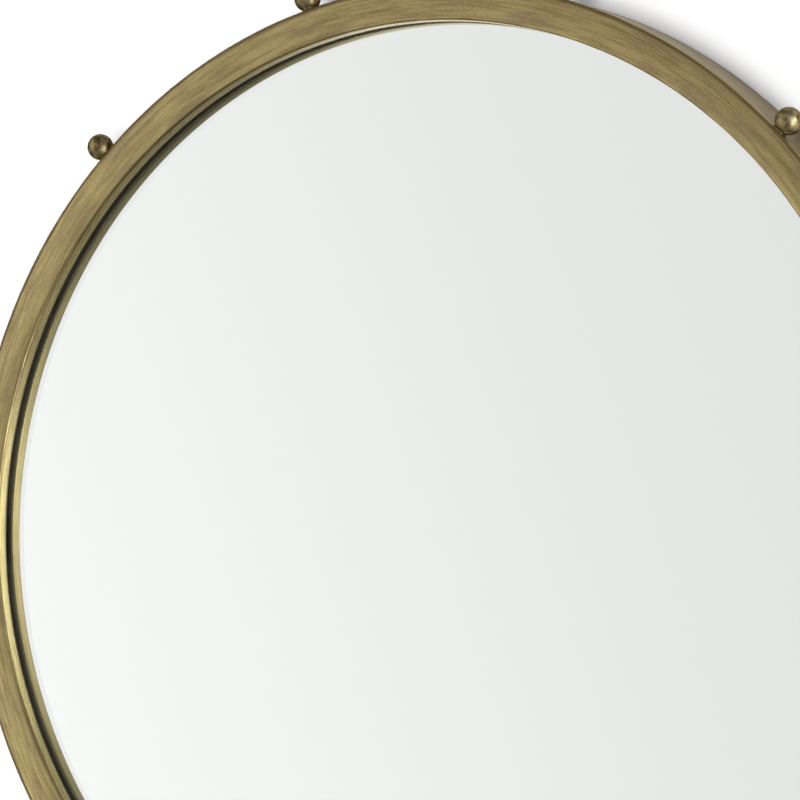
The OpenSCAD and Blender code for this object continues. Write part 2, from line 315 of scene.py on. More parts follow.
@dataclass(frozen=True)
class BrushedBrass:
    """Antique brass: sheet darkened with liver of sulphur, then brushed back round the ring and lacquered.

    The eye sees khaki metal with fine light and dark marks along the ring, mauve-brown stains, and dark
    lines along edges that are painted shade, on the face's outer edge partly patina.
    """

    name: str
    body: str
    pale: str
    dark: str
    stain: str
    # Colour of real grime specks, and of the painted shade lines along edges
    grime_and_shade: str = "#48331f"
    edge_tint: str = WHITE
    lacquer: float = 0.0
    radius: float = 0.37
    roughness: float = 0.36
    rims: tuple[Rim, ...] = ()
    fine: Streaks = Streaks(length=22 * MM, width=0.8 * MM, detail=3.0)
    broad: Streaks = Streaks(length=60 * MM, width=2.8 * MM, detail=4.0, shift=7.0)
    cloud: Streaks = Streaks(length=46 * MM, width=13 * MM, detail=3.0, shift=19.0)
    grain: float = 1.2 * MM
    speck: float = 2.4 * MM
    mark_depth: float = 0.02 * MM
    lacquer_roughness: float = 0.12
    dark_line_roughness: float = 0.6

    def material(self) -> bpy.types.Material:
        """Builds the material.

        Returns:
            The material.
        """
        # Light that grazes old lacquer comes back warmer, and new lacquer gives a pale gloss of its own
        material, tree, shader = new_material(self.name, {
            "Metallic": 1.0, "Specular Tint": linear(self.edge_tint), "Coat Weight": self.lacquer,
            "Coat Roughness": self.lacquer_roughness})
        ring = RingCoordinates(tree, self.radius)
        fine, broad, cloud = ring.marks(self.fine), ring.marks(self.broad), ring.marks(self.cloud)
        grain = add(tree, "ShaderNodeTexNoise", {
            "Vector": ring.point, "Scale": 1 / self.grain, "Detail": 3.0, "Roughness": 0.7}).outputs[0]
        speck = add(tree, "ShaderNodeTexNoise", {
            "Vector": ring.point, "Scale": 1 / self.speck, "Detail": 2.0}).outputs[0]
        colour = overlay(tree, linear(self.dark), (
            Layer(broad, 0.3, 0.6, 1.0, self.body),
            Layer(cloud, 0.42, 0.66, 0.8, self.stain),
            Layer(fine, 0.5, 0.7, 0.5, self.pale),
            Layer(fine, 0.48, 0.3, 0.55, self.dark),
            Layer(grain, 0.52, 0.7, 0.4, self.pale),
            Layer(grain, 0.48, 0.3, 0.4, self.dark),
            Layer(speck, 0.74, 0.8, 0.7, self.grime_and_shade),
        ))
        worn = add(tree, "ShaderNodeMapRange", (fine, 0.3, 0.7, self.roughness + 0.07, self.roughness - 0.06),
                   interpolation_type="SMOOTHSTEP").outputs[0]
        # Painted shade: dark lines along edges, on the face's outer edge partly patina
        for line in self.rims:
            share = ring.rim(line)
            colour = add(tree, "ShaderNodeMix", {0: share, 6: colour, 7: linear(self.grime_and_shade)},
                         data_type="RGBA").outputs[2]
            worn = add(tree, "ShaderNodeMix", {0: share, 2: worn, 3: self.dark_line_roughness}).outputs[0]
        dress(tree, shader, colour, worn, fine, 0.5, self.mark_depth)
        return material


@dataclass(frozen=True)
class PatinatedBrass:
    """Brass left dark by its patina and rubbed back a little by hand, as on the balls and the lugs.

    The eye sees brown-black metal, mottled, with golden patches and pits where the dark has stayed.
    """

    name: str = "patinated_brass"
    dark: str = "#544332"
    rubbed: str = "#998b64"
    pit: str = "#2c2119"
    rim: str = "#6b5f48"
    mottle: float = 5 * MM
    grain: float = 0.8 * MM
    pit_depth: float = 0.06 * MM
    roughness: float = 0.43

    def material(self) -> bpy.types.Material:
        """Builds the material.

        Returns:
            The material.
        """
        # The patina takes more light where it is looked through aslant, which darkens a ball's rim
        material, tree, shader = new_material(self.name, {"Metallic": 1.0, "Specular Tint": linear(self.rim)})
        point = add(tree, "ShaderNodeTexCoord").outputs["Object"]
        mottle = add(tree, "ShaderNodeTexNoise", {
            "Vector": point, "Scale": 1 / self.mottle, "Detail": 3.0, "Roughness": 0.6}).outputs[0]
        grain = add(tree, "ShaderNodeTexNoise", {
            "Vector": point, "Scale": 1 / self.grain, "Detail": 2.0, "Roughness": 0.6}).outputs[0]
        colour = overlay(tree, linear(self.dark), (
            Layer(mottle, 0.27, 0.63, 1.0, self.rubbed),
            Layer(grain, 0.48, 0.32, 0.7, self.pit),
        ))
        worn = add(tree, "ShaderNodeMapRange", (
            grain, 0.3, 0.65, self.roughness + 0.18, self.roughness - 0.04),
            interpolation_type="SMOOTHSTEP").outputs[0]
        dress(tree, shader, colour, worn, grain, 0.4, self.pit_depth)
        return material


@dataclass(frozen=True)
class FloatGlass:
    """Clear 5 mm float glass, smooth from its tin bath: colourless on the face, green at the seamed edge."""

    radius: float
    name: str = "float_glass"
    tint: str = "#fdfffd"
    edge: str = "#a9c9b6"
    seam: float = 0.6 * MM
    grit: float = 0.8 * MM
    refraction: float = 1.52

    def material(self) -> bpy.types.Material:
        """Builds the material.

        Returns:
            The material.
        """
        material, tree, shader = new_material(self.name, {"IOR": self.refraction, "Transmission Weight": 1.0})
        ring = RingCoordinates(tree, self.radius)
        ground = add(tree, "ShaderNodeMapRange", (
            ring.reach, self.radius - self.seam, self.radius - 0.7 * self.seam),
            interpolation_type="SMOOTHSTEP").outputs[0]
        grit = add(tree, "ShaderNodeTexNoise", {"Vector": ring.point, "Scale": 1 / self.grit, "Detail": 2.0})
        matt = add(tree, "ShaderNodeMapRange", (grit.outputs[0], 0.3, 0.7, 0.35, 0.6),
                   interpolation_type="SMOOTHSTEP").outputs[0]
        # The seamed edge was ground with a belt, so it is matt and shows the glass's own green
        tint = add(tree, "ShaderNodeMix", {0: ground, 6: linear(self.tint), 7: linear(self.edge)},
                   data_type="RGBA").outputs[2]
        tree.links.new(tint, shader.inputs["Base Color"])
        worn = add(tree, "ShaderNodeMath", (ground, matt), operation="MULTIPLY").outputs[0]
        tree.links.new(worn, shader.inputs["Roughness"])
        return material


@dataclass(frozen=True)
class Silvering:
    """Silver deposited on glass: an even mirror, with a dark line where damp has crept in at the rim."""

    radius: float
    name: str = "silvering"
    silver: str = "#fcfdfc"
    creep: str = "#8b8578"
    creep_width: float = 3 * MM

    def material(self) -> bpy.types.Material:
        """Builds the material.

        Returns:
            The material.
        """
        material, tree, shader = new_material(self.name, {"Metallic": 1.0, "Roughness": 0.0})
        ring = RingCoordinates(tree, self.radius)
        ragged = ring.marks(Streaks(length=12 * MM, width=6 * MM, detail=4.0))
        inward = add(tree, "ShaderNodeMath", (ragged, self.creep_width, ring.reach),
                     operation="MULTIPLY_ADD").outputs[0]
        fade = 0.2 * self.creep_width
        damp = Layer(inward, self.radius - fade, self.radius + fade, 1.0, self.creep)
        tree.links.new(overlay(tree, linear(self.silver), (damp,)), shader.inputs["Base Color"])
        return material


@dataclass(frozen=True)
class GrainySolid:
    """A matt material with a fine grain: foam, rubber or paint, told apart by colour, grain and depth."""

    name: str
    colour: str
    fleck: str
    grain: float
    depth: float
    roughness: float
    patch: float = 30 * MM

    def material(self) -> bpy.types.Material:
        """Builds the material.

        Returns:
            The material.
        """
        material, tree, shader = new_material(self.name, {})
        point = add(tree, "ShaderNodeTexCoord").outputs["Object"]
        cells = add(tree, "ShaderNodeTexVoronoi", {"Vector": point, "Scale": 1 / self.grain},
                    feature="F1").outputs["Distance"]
        patch = add(tree, "ShaderNodeTexNoise", {
            "Vector": point, "Scale": 1 / self.patch, "Detail": 4.0, "Roughness": 0.6}).outputs[0]
        colour = overlay(tree, linear(self.colour), (
            Layer(patch, 0.35, 0.65, 0.6, self.fleck),
            Layer(cells, 0.75, 0.2, 0.35, self.fleck),
        ))
        dull = add(tree, "ShaderNodeMapRange", (
            patch, 0.3, 0.7, self.roughness - 0.06, self.roughness + 0.06),
            interpolation_type="SMOOTHSTEP").outputs[0]
        dress(tree, shader, colour, dull, cells, 0.6, self.depth)
        return material


@dataclass(frozen=True)
class PaintedFibreboard:
    """Fibreboard rolled with thin black paint: a fine orange peel, brown fibres at the scuffs and the rim."""

    name: str = "painted_fibreboard"
    paint: str = "#27221d"
    thin_paint: str = "#2e2721"
    fibre: str = "#6b5239"
    scuff_length: float = 28 * MM
    scuff_turn: float = 0.5
    scuff_stretch: float = 9.0
    patch: float = 90 * MM
    peel: float = 1.6 * MM
    peel_depth: float = 0.12 * MM
    radius: float = 366 * MM
    rim: float = 1.2 * MM

    def material(self) -> bpy.types.Material:
        """Builds the material.

        Returns:
            The material.
        """
        material, tree, shader = new_material(self.name, {})
        ring = RingCoordinates(tree, self.radius)
        peel = add(tree, "ShaderNodeTexNoise", {
            "Vector": ring.point, "Scale": 1 / self.peel, "Detail": 3.0, "Roughness": 0.6}).outputs[0]
        fibres = add(tree, "ShaderNodeMapping", {
            "Vector": ring.point, "Rotation": (0.0, self.scuff_turn, 0.0),
            "Scale": (1.0, 1.0, self.scuff_stretch)}).outputs[0]
        scuffs = add(tree, "ShaderNodeTexNoise", {
            "Vector": fibres, "Scale": 1 / self.scuff_length, "Detail": 5.0, "Roughness": 0.62}).outputs[0]
        patch = add(tree, "ShaderNodeTexNoise", {
            "Vector": ring.point, "Scale": 1 / self.patch, "Detail": 3.0}).outputs[0]
        colour = overlay(tree, linear(self.paint), (
            Layer(patch, 0.35, 0.65, 1.0, self.thin_paint),
            Layer(scuffs, 0.62, 0.78, 0.45, self.fibre),
        ))
        edge = add(tree, "ShaderNodeMapRange", (
            ring.reach, self.radius - self.rim, self.radius - 0.3 * self.rim, 0.0, 0.7)).outputs[0]
        colour = add(tree, "ShaderNodeMix", {0: edge, 6: colour, 7: linear(self.fibre)},
                     data_type="RGBA").outputs[2]
        dull = add(tree, "ShaderNodeMapRange", (patch, 0.3, 0.7, 0.48, 0.62),
                   interpolation_type="SMOOTHSTEP").outputs[0]
        dress(tree, shader, colour, dull, peel, 0.5, self.peel_depth)
        return material


@dataclass(frozen=True)
class ZincPlate:
    """Pressed steel with bright zinc plating: grey, with faint straw clouds and fine die marks."""

    name: str = "zinc_plated_steel"
    zinc: str = "#b9b8b2"
    straw: str = "#b3a988"
    shade: str = "#8e8f8e"
    cloud: float = 9 * MM
    scratch: float = 0.5 * MM
    scratch_depth: float = 0.02 * MM
    roughness: float = 0.32

    def material(self) -> bpy.types.Material:
        """Builds the material.

        Returns:
            The material.
        """
        material, tree, shader = new_material(self.name, {"Metallic": 1.0})
        point = add(tree, "ShaderNodeTexCoord").outputs["Object"]
        cloud = add(tree, "ShaderNodeTexNoise", {
            "Vector": point, "Scale": 1 / self.cloud, "Detail": 3.0, "Roughness": 0.6}).outputs[0]
        drawn = add(tree, "ShaderNodeMapping", {"Vector": point, "Scale": (1.0, 0.3, 0.06)}).outputs[0]
        lines = add(tree, "ShaderNodeTexNoise", {
            "Vector": drawn, "Scale": 1 / self.scratch, "Detail": 2.0}).outputs[0]
        colour = overlay(tree, linear(self.zinc), (
            Layer(cloud, 0.45, 0.7, 0.7, self.straw),
            Layer(lines, 0.5, 0.3, 0.6, self.shade),
        ))
        worn = add(tree, "ShaderNodeMapRange", (lines, 0.3, 0.7, self.roughness + 0.1, self.roughness - 0.05),
                   interpolation_type="SMOOTHSTEP").outputs[0]
        dress(tree, shader, colour, worn, lines, 0.3, self.scratch_depth)
        return material


@dataclass(frozen=True)
class Corner:
    """A corner of a turned section.

    Attributes:
        reach: Distance from the mirror's axis.
        height: Height off the wall.
        rounding: Radius of the corner, or 0 for a sharp one.
        steps: Segments of the rounding.
    """

    reach: float
    height: float
    rounding: float = 0.0
    steps: int = 6


def shade_by_angle(mesh: bmesh.types.BMesh, crease: float = math.radians(32)) -> None:
    """Shades every face smooth and marks the edges that turn by more than an angle as sharp.

    Args:
        mesh: The mesh.
        crease: The angle.
    """
    for face in mesh.faces:
        face.smooth = True
    for edge in mesh.edges:
        edge.smooth = len(edge.link_faces) == 2 and edge.calc_face_angle() < crease


def turned_ring(section: Sequence[Corner], steps: int = RING_STEPS) -> bmesh.types.BMesh:
    """Turns a closed section about the mirror's axis.

    Args:
        section: The section's corners, in order.
        steps: Segments round the axis.

    Returns:
        The ring's mesh.
    """
    mesh = bmesh.new()
    corners = [mesh.verts.new((corner.reach, -corner.height, 0.0)) for corner in section]
    mesh.faces.new(corners)
    for vert, corner in zip(corners, section):
        if corner.rounding:
            bmesh.ops.bevel(mesh, geom=[vert], affect="VERTICES", offset=corner.rounding,
                            offset_type="OFFSET", segments=corner.steps, profile=0.5, material=-1)
    bmesh.ops.delete(mesh, geom=mesh.faces[:], context="FACES_ONLY")
    spin_whole(mesh, AXIS, steps)
    return mesh


def spin_whole(mesh: bmesh.types.BMesh, axis: Vector, steps: int) -> None:
    """Spins a wire through a full turn about an axis through the origin and closes it.

    Args:
        mesh: The mesh that holds the wire.
        axis: The axis.
        steps: Segments of the turn.
    """
    bmesh.ops.spin(mesh, geom=mesh.verts[:] + mesh.edges[:], cent=ORIGIN, axis=axis, dvec=ORIGIN,
                   angle=math.tau, steps=steps, use_merge=True, use_normal_flip=False, use_duplicate=False)
    bmesh.ops.remove_doubles(mesh, verts=mesh.verts[:], dist=1e-7)
    bmesh.ops.dissolve_degenerate(mesh, edges=mesh.edges[:], dist=1e-8)
    bmesh.ops.recalc_face_normals(mesh, faces=mesh.faces[:])
    shade_by_angle(mesh)


def round_plate(radius: float, low: float, high: float, edge: float, steps: int) -> bmesh.types.BMesh:
    """A round plate on the mirror's axis with eased rims.

    Args:
        radius: The plate's radius.
        low: Height of its rear face off the wall.
        high: Height of its front face.
        edge: Width that the rims are eased by.
        steps: Segments of the easing, where 1 is a chamfer.

    Returns:
        The plate's mesh.
    """
    mesh = bmesh.new()
    bmesh.ops.create_cone(mesh, cap_ends=True, cap_tris=False, segments=RING_STEPS, radius1=radius,
                          radius2=radius, depth=high - low)
    bmesh.ops.rotate(mesh, verts=mesh.verts[:], cent=ORIGIN, matrix=UPRIGHT)
    bmesh.ops.translate(mesh, verts=mesh.verts[:], vec=(0.0, -(low + high) / 2, 0.0))
    if edge:
        rims = [e for e in mesh.edges if e.calc_face_angle(0.0) > SHARP]
        bmesh.ops.bevel(mesh, geom=rims, affect="EDGES", offset=edge, offset_type="OFFSET", segments=steps,
                        profile=0.5, material=-1)
    shade_by_angle(mesh)
    return mesh


def eased_copy(node: str, edge: float, steps: int = 2) -> bmesh.types.BMesh:
    """Copies a CAD node's mesh, joins its loose triangles and eases its sharp edges.

    Args:
        node: The CAD node's name.
        edge: Width that the edges are eased by, or 0.
        steps: Segments of the easing.

    Returns:
        The copy's mesh.
    """
    mesh = bmesh.new()
    mesh.from_mesh(frame["nodes"][node].data)
    bmesh.ops.remove_doubles(mesh, verts=mesh.verts[:], dist=WELD)
    bmesh.ops.dissolve_limit(mesh, angle_limit=FLAT, verts=mesh.verts[:], edges=mesh.edges[:])
    if edge:
        sharp = [e for e in mesh.edges if len(e.link_faces) == 2 and e.calc_face_angle() > SHARP]
        bmesh.ops.bevel(mesh, geom=sharp, affect="EDGES", offset=edge, offset_type="OFFSET", segments=steps,
                        profile=0.5, material=-1, clamp_overlap=True)
    shade_by_angle(mesh)
    return mesh


def settle(mesh: bmesh.types.BMesh, name: str, node: str, finish: bpy.types.Material) -> bpy.types.Object:
    """Makes a mesh a piece that stands for a CAD node and rides on that node's body.

    Args:
        mesh: The finished mesh, which is used up.
        name: The piece's name.
        node: The CAD node that it stands for.
        finish: Its material.

    Returns:
        The piece.
    """
    data = bpy.data.meshes.new(name)
    mesh.to_mesh(data)
    mesh.free()
    data.materials.append(finish)
    piece = bpy.data.objects.new(name, data)
    bpy.context.scene.collection.objects.link(piece)
    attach(piece, frame["nodes"][node]["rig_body"])
    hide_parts(node)
    log.info("%s stands for %s with %d faces in %s", name, node, len(data.polygons), finish.name)
    return piece


@dataclass
class MirrorFrame:
    """The turned metal frame: a flat face ring, the deep band behind it and the lip inside it."""

    face_width: float = 25.4 * MM
    face_thickness: float = 2 * MM
    band_thickness: float = 2 * MM
    lip_thickness: float = 3 * MM
    outer_round: float = 1.4 * MM
    inner_round: float = 1.8 * MM
    rear_round: float = 0.5 * MM
    lip_round: float = 0.15 * MM

    def __post_init__(self) -> None:
        """Reads the frame's reach and heights from the CAD nodes."""
        self.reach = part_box("face_ring")[1].x
        self.front = -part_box("face_ring")[0].y
        self.lip_end = -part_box("inner_lip")[1].y
        self.opening = self.reach - self.face_width
        self.shelf = self.front - self.face_thickness

    def build(self) -> None:
        """Builds and dresses the three rings."""
        settle(self.face(), "face_ring_brushed", "face_ring", self.face_finish())
        settle(self.band(), "outer_band_rolled", "outer_band", self.band_finish())
        settle(self.lip(), "inner_lip_rolled", "inner_lip", self.lip_finish())

    def face(self) -> bmesh.types.BMesh:
        """Turns the flat face ring, with both of its front edges rounded.

        Returns:
            The ring's mesh.
        """
        return turned_ring([
            Corner(self.opening, self.shelf),
            Corner(self.reach, self.shelf),
            Corner(self.reach, self.front, self.outer_round, 8),
            Corner(self.opening, self.front, self.inner_round),
        ])

    def band(self) -> bmesh.types.BMesh:
        """Turns the deep band, with its rear corner rounded.

        Returns:
            The band's mesh.
        """
        inside = self.reach - self.band_thickness
        return turned_ring([
            Corner(inside, 0.0),
            Corner(self.reach, 0.0, self.rear_round),
            Corner(self.reach, self.shelf),
            Corner(inside, self.shelf),
        ])

    def lip(self) -> bmesh.types.BMesh:
        """Turns the lip that drops from the face's inner edge to the glass.

        Returns:
            The lip's mesh.
        """
        return turned_ring([
            Corner(self.opening, self.lip_end, self.lip_round, 3),
            Corner(self.opening + self.lip_thickness, self.lip_end),
            Corner(self.opening + self.lip_thickness, self.shelf),
            Corner(self.opening, self.shelf),
        ])

    def face_finish(self) -> bpy.types.Material:
        """Khaki brushed brass, with a dark line just inside its outer edge: partly patina in the bend, partly
        painted shade of the rounded corner.

        Returns:
            The material.
        """
        outer_line = self.reach - self.outer_round - self.front
        return BrushedBrass(
            name="brushed_antique_brass", body="#9b8c5f", pale="#b0a171", dark="#7f6e49", stain="#816f52",
            # Dark line at the start of the outer rounding: partly patina, partly painted shade
            rims=(Rim(outer_line, 0.5 * MM, 1.5 * MM, 0.3 * MM, 0.62),),
        ).material()

    def band_finish(self) -> bpy.types.Material:
        """Duller and darker brass, with painted shade along the edge where the band meets the wall.

        Returns:
            The material.
        """
        rear_line = self.reach
        return BrushedBrass(
            name="rolled_antique_brass", body="#7d6f4f", pale="#8b7e5c", dark="#6b5e44", stain="#726347",
            edge_tint="#fff9ed", roughness=0.42, radius=self.reach,
            # Painted shade: a dark line along the band's rear edge, where it meets the wall
            rims=(Rim(rear_line, 0.3 * MM, 2.5 * MM, 0.4 * MM, 0.7),),
        ).material()

    def lip_finish(self) -> bpy.types.Material:
        """Brighter lacquered brass, rubbed by cleaning cloths, with painted shade where it comes down to the
        glass.

        Returns:
            The material.
        """
        glass_line = self.opening - self.lip_end
        return BrushedBrass(
            name="rubbed_antique_brass", body="#b8a96f", pale="#cdc090", dark="#9d8f5e", stain="#a19364",
            edge_tint="#d2cab6", lacquer=0.35, roughness=0.28, radius=self.opening,
            # Painted shade: a dark line where the lip comes down to the glass
            rims=(Rim(glass_line, 0.3 * MM, 1.2 * MM, 0.2 * MM, 0.3),),
        ).material()


@dataclass
class BallTrim:
    """The solid balls that stand round the band, each brazed to it over a spigot."""

    count: int = 12
    seat: float = 0.6 * MM
    fillet: float = 0.5 * MM
    spigot: float = 2.5 * MM
    band_thickness: float = 2 * MM
    spigot_past: float = 0.6 * MM
    spigot_edge: float = 0.3 * MM
    # How far the fillet's foot reaches into the band, so that no gap shows
    skirt: float = 0.1 * MM
    turn_steps: int = 64
    arc_steps: int = 28
    fillet_steps: int = 6

    def __post_init__(self) -> None:
        """Reads the balls' size and height off the wall from the first CAD ball."""
        low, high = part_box("ball_01")
        self.radius = (high.y - low.y) / 2
        self.height = -(low.y + high.y) / 2
        self.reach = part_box("face_ring")[1].x

    def build(self) -> None:
        """Builds the balls, clockwise from the first one right of the top."""
        finish = PatinatedBrass().material()
        for number in range(1, self.count + 1):
            angle = math.radians(90 - (number - 0.5) * 360 / self.count)
            name = f"ball_{number:02d}"
            settle(self.ball(angle), f"{name}_brazed", name, finish)

    def ball(self, angle: float) -> bmesh.types.BMesh:
        """One ball with its brazed fillet and its spigot.

        Args:
            angle: Its place round the frame, anticlockwise from +X.

        Returns:
            The ball's mesh, in place.
        """
        centre = self.radius - self.seat
        # The fillet's centre lies one fillet radius above the band and touches the ball
        fillet_out = math.sqrt((self.radius + self.fillet) ** 2 - (centre - self.fillet) ** 2)
        lean = math.atan2(fillet_out, centre - self.fillet)
        turn = math.pi - lean
        mesh = bmesh.new()
        outline = [Vector((self.radius * math.sin(a), centre - self.radius * math.cos(a)))
                   for a in (math.pi - i * turn / self.arc_steps for i in range(self.arc_steps + 1))]
        outline += [Vector((fillet_out - self.fillet * math.sin(a), self.fillet - self.fillet * math.cos(a)))
                    for a in (turn - i * turn / self.fillet_steps for i in range(1, self.fillet_steps + 1))]
        end = -self.band_thickness - self.spigot_past
        outline += [Vector(p) for p in (
            (fillet_out, -self.skirt), (self.spigot, -self.skirt), (self.spigot, end + self.spigot_edge),
            (self.spigot - self.spigot_edge, end), (0.0, end))]
        verts = [mesh.verts.new((0.0 if point.x < 1e-7 else point.x, 0.0, point.y)) for point in outline]
        for first, second in zip(verts, verts[1:]):
            mesh.edges.new((first, second))
        spin_whole(mesh, Vector((0.0, 0.0, 1.0)), self.turn_steps)
        # +Z of the turned ball is laid along the frame's radius
        bmesh.ops.rotate(mesh, verts=mesh.verts[:], cent=ORIGIN, matrix=Matrix.Rotation(math.pi / 2, 3, "Y"))
        bmesh.ops.translate(mesh, verts=mesh.verts[:], vec=(self.reach, -self.height, 0.0))
        bmesh.ops.rotate(mesh, verts=mesh.verts[:], cent=ORIGIN, matrix=Matrix.Rotation(-angle, 3, "Y"))
        return mesh


@dataclass
class GlassPack:
    """What lies in the frame, from front to back: tape, glass, silvering, foam, board and setting blocks."""

    tape_width: float = 6 * MM
    tape_bulge: float = 0.3 * MM
    arris: float = 0.5 * MM
    board_edge: float = 0.8 * MM
    block_edge: float = 0.6 * MM
    # How far the silvering reaches into the glass, so that no film of air lies between them
    bite: float = 0.02 * MM

    def build(self) -> None:
        """Builds and dresses the layers."""
        low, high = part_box("glazing_tape")
        tape = turned_ring([
            Corner(high.x - self.tape_width, -high.y, self.tape_bulge, 4),
            Corner(high.x, -high.y, self.tape_bulge, 4),
            Corner(high.x, -low.y, self.tape_bulge, 4),
            Corner(high.x - self.tape_width, -low.y, self.tape_bulge, 4),
        ])
        # The foam is black, but it is drawn grey, which paints light into the shaded gap between lip and
        # glass
        foam = GrainySolid("foam_tape_painted_lighter", "#97907e", "#a59e8d", 0.5 * MM, 0.1 * MM, 0.9)
        settle(tape, "glazing_tape_foam", "glazing_tape", foam.material())
        low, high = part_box("mirror_glass")
        glass = round_plate(high.x, -high.y, -low.y, self.arris, 1)
        settle(glass, "mirror_glass_float", "mirror_glass", FloatGlass(high.x).material())
        low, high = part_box("silver_coat")
        silver = round_plate(high.x, -high.y, -low.y + self.bite, 0.0, 1)
        settle(silver, "silver_coat_bright", "silver_coat", Silvering(high.x).material())
        low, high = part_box("foam_liner")
        liner = round_plate(high.x, -high.y, -low.y, 0.0, 1)
        sheet = GrainySolid("white_foam_sheet", "#dedbd3", "#cfcbc0", 0.8 * MM, 0.1 * MM, 0.8)
        settle(liner, "foam_liner_sheet", "foam_liner", sheet.material())
        low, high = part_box("backing_board")
        board = round_plate(high.x, -high.y, -low.y, self.board_edge, 3)
        settle(board, "backing_board_painted", "backing_board", PaintedFibreboard(radius=high.x).material())
        rubber = GrainySolid("setting_block_rubber", "#232322", "#30302e", 0.9 * MM, 0.05 * MM, 0.78)
        finish = rubber.material()
        for side in ("left", "right"):
            block = eased_copy(f"setting_block_{side}", self.block_edge)
            settle(block, f"setting_block_{side}_rubber", f"setting_block_{side}", finish)


@dataclass
class BoardFixings:
    """The lugs inside the band, and the buttons and screws that hold the board in."""

    count: int = 6
    lug_edge: float = 0.25 * MM
    button_edge: float = 0.2 * MM
    screw_edge: float = 0.08 * MM

    def build(self, brass: bpy.types.Material, zinc: bpy.types.Material) -> None:
        """Builds and dresses the lugs, the buttons and their screws.

        Args:
            brass: The lugs' finish.
            zinc: The finish of the buttons and screws.
        """
        for number in range(1, self.count + 1):
            lug, button = f"clip_lug_{number}", f"turn_button_{number}"
            settle(eased_copy(lug, self.lug_edge), f"{lug}_welded", lug, brass)
            settle(eased_copy(button, self.button_edge), f"{button}_pressed", button, zinc)
        settle(eased_copy("clip_screws", self.screw_edge), "clip_screws_plated", "clip_screws", zinc)


@dataclass
class Hangers:
    """The folded straps on the board, the wire rings that swing in them, and their screws."""

    strap_edge: float = 0.2 * MM
    screw_edge: float = 0.08 * MM

    def build(self, zinc: bpy.types.Material) -> None:
        """Builds and dresses both hangers.

        Args:
            zinc: The finish of the hangers.
        """
        for side in ("left", "right"):
            strap, ring = f"hanger_strap_{side}", f"hanger_ring_{side}"
            settle(eased_copy(strap, self.strap_edge), f"{strap}_folded", strap, zinc)
            settle(eased_copy(ring, 0.0), f"{ring}_wire", ring, zinc)
        settle(eased_copy("hanger_screws", self.screw_edge), "hanger_screws_plated", "hanger_screws", zinc)


@dataclass(frozen=True)
class Lamp:
    """A soft box.

    Attributes:
        name: Its name.
        azimuth: Degrees to the right of the mirror's front, where 180 is behind it.
        elevation: Degrees above the horizon.
        distance: Distance from what it is aimed at.
        size: Width of the box.
        power: Power in watts.
        tall: Its height as a share of its width.
        colour: Its colour.
        aim: Where it is aimed.
        spread: Degrees that its beam spreads over.
        matt: Whether it lights matt surfaces.
        shiny: Whether it shows in shiny ones.
    """

    name: str
    azimuth: float
    elevation: float
    distance: float
    size: float
    power: float
    tall: float = 1.0
    colour: str = WHITE
    aim: tuple[float, float, float] = (0.0, 0.0, 0.0)
    spread: float = 180.0
    matt: bool = True
    shiny: bool = True


